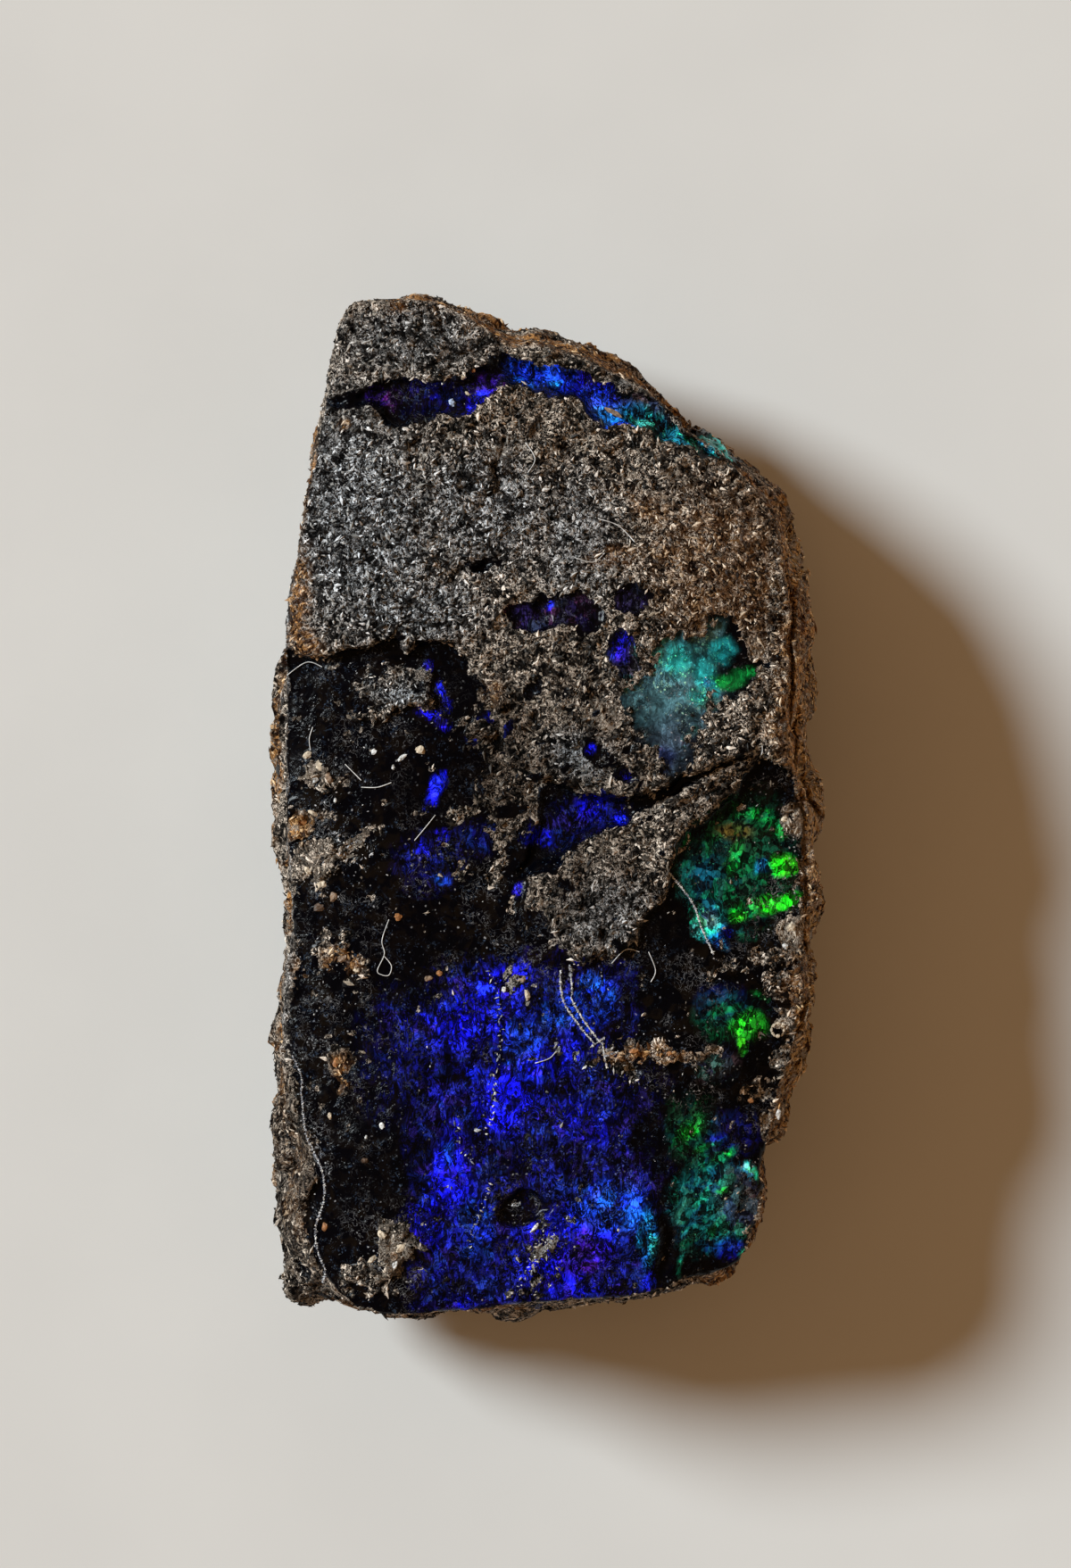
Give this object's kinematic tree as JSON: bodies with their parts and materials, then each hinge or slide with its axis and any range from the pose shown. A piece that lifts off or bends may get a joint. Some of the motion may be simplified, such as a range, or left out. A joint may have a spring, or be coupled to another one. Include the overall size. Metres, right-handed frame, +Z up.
{
  "type": "rough boulder opal",
  "caption": "Slab of rough ironstone with blue and green opal showing on its broken upper face, lying on its flat split underside.",
  "frame": {"origin": "centre of the bounding box's bottom face, on the flat split underside that the stone rests on", "axes": "+Y along the stone's length, towards its pointed end; +X across its width; +Z up, out of the opal face"},
  "size_m": [0.0244, 0.045, 0.0134],
  "materials": {
    "ironstone": "rough, granular",
    "opal": "glossy",
    "lint": "matt"
  },
  "bodies": {
    "root": {"opal_stone": "ironstone"}
  },
  "joints": []
}
